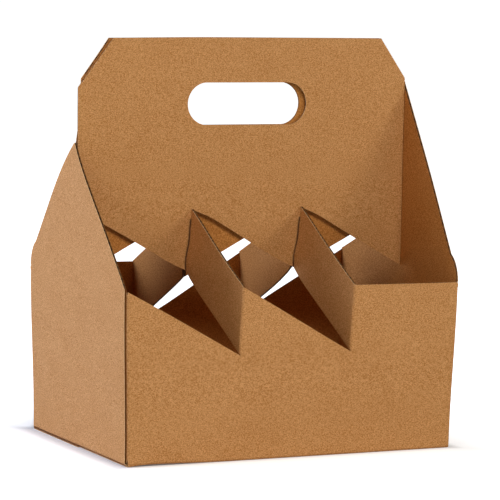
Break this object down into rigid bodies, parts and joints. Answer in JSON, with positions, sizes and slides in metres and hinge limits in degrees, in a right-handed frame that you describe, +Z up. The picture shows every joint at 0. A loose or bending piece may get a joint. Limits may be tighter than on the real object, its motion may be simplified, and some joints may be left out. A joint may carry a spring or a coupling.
{
  "type": "bottle carrier",
  "caption": "Folded corrugated carrier with an open-topped body, slit and swung dividers, sloping end panels and a tall doubled centre handle with an oval hand hole.",
  "frame": {"origin": "middle of the base, on the surface that the carrier stands on", "axes": "+X along the front wall towards the right end panel, +Y from the front wall to the rear wall, +Z up through the handle"},
  "size_m": [0.258, 0.174, 0.282],
  "materials": {
    "board": "uncoated kraft"
  },
  "bodies": {
    "root": {"carrier": "board"}
  },
  "joints": []
}
